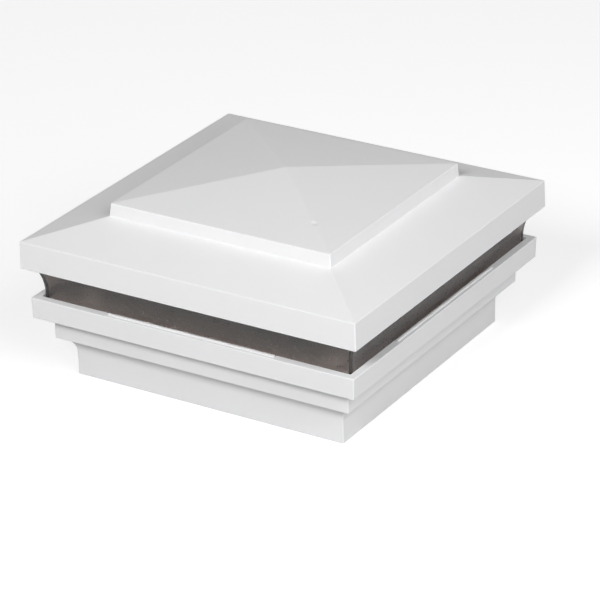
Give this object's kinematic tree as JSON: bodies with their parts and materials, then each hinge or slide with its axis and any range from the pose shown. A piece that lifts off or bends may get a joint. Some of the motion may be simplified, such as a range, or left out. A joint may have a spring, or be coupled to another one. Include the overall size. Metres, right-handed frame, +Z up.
{
  "type": "lighted fence post cap",
  "caption": "Square hipped fence post cap with a smoked lens band above a stepped trim that slips over the post; the lid lifts off a small LED module with wire clamps.",
  "frame": {"origin": "middle of the trim's lower rim", "axes": "+Z up along the post, -Y is the front, +X is the right side"},
  "size_m": [0.1662, 0.1662, 0.0865],
  "materials": {
    "white_asa": "satin white moulding",
    "white_abs": "matt white moulding",
    "smoked_pc": "clear brown-grey tint",
    "epdm": "matt black",
    "steel": "stainless",
    "aluminium": "plain",
    "silicone": "matt grey",
    "solder_mask": "white solder mask",
    "led_package": "white package with yellow phosphor",
    "black_epoxy": "moulded",
    "ferrite": "sintered",
    "green_pa": "moulded",
    "nickelled_brass": "nickel plated"
  },
  "bodies": {
    "base": {"base_trim": "white_asa", "deck_plate": "white_abs", "lens_gasket": "epdm", "lens_ring": "smoked_pc", "rim_seal": "epdm", "wire_grommet": "epdm", "heat_sink": "aluminium", "thermal_pad": "silicone", "led_board": "solder_mask", "rectifier": "black_epoxy", "inductor": "ferrite", "driver_chip": "black_epoxy", "capacitor": "aluminium", "terminal_block": "green_pa", "contact_bar_left": "nickelled_brass", "contact_bar_right": "nickelled_brass", "peg_socket_front_left": "epdm", "peg_socket_front_right": "epdm", "peg_socket_back_right": "epdm", "peg_socket_back_left": "epdm", "deck_screw_front_left": "steel", "deck_screw_front_right": "steel", "deck_screw_back_right": "steel", "deck_screw_back_left": "steel", "board_screw_front_left": "steel", "board_screw_front_right": "steel", "board_screw_back_right": "steel", "board_screw_back_left": "steel", "led_front_a": "led_package", "led_front_b": "led_package", "led_right_a": "led_package", "led_right_b": "led_package", "led_back_a": "led_package", "led_back_b": "led_package", "led_left_a": "led_package", "led_left_b": "led_package"},
    "lid": {"top_cap": "white_asa"},
    "terminal_screw_left": {"terminal_screw_left": "steel"},
    "wire_clamp_left": {"wire_clamp_left": "nickelled_brass"},
    "terminal_screw_right": {"terminal_screw_right": "steel"},
    "wire_clamp_right": {"wire_clamp_right": "nickelled_brass"}
  },
  "joints": [
    {"name": "lid_lift", "type": "slide", "parent": "base", "child": "lid", "axis": [0, 0, 1], "range_m": [0, 0.06]},
    {"name": "clamp_rise_left", "type": "slide", "parent": "base", "child": "wire_clamp_left", "axis": [0, 0, 1], "range_m": [0, 0.0012]},
    {"name": "clamp_screw_left", "type": "hinge", "parent": "base", "child": "terminal_screw_left", "pos_m": [-0.00254, 0.0285, 0.0505], "axis": [0, 0, -1], "range_deg": [0, 864]},
    {"name": "clamp_rise_right", "type": "slide", "parent": "base", "child": "wire_clamp_right", "axis": [0, 0, 1], "range_m": [0, 0.0012]},
    {"name": "clamp_screw_right", "type": "hinge", "parent": "base", "child": "terminal_screw_right", "pos_m": [0.00254, 0.0285, 0.0505], "axis": [0, 0, -1], "range_deg": [0, 864]}
  ],
  "couplings": [
    {"joint": "clamp_screw_left", "follows": "clamp_rise_left", "rad_per_m": 12566},
    {"joint": "clamp_screw_right", "follows": "clamp_rise_right", "rad_per_m": 12566}
  ]
}
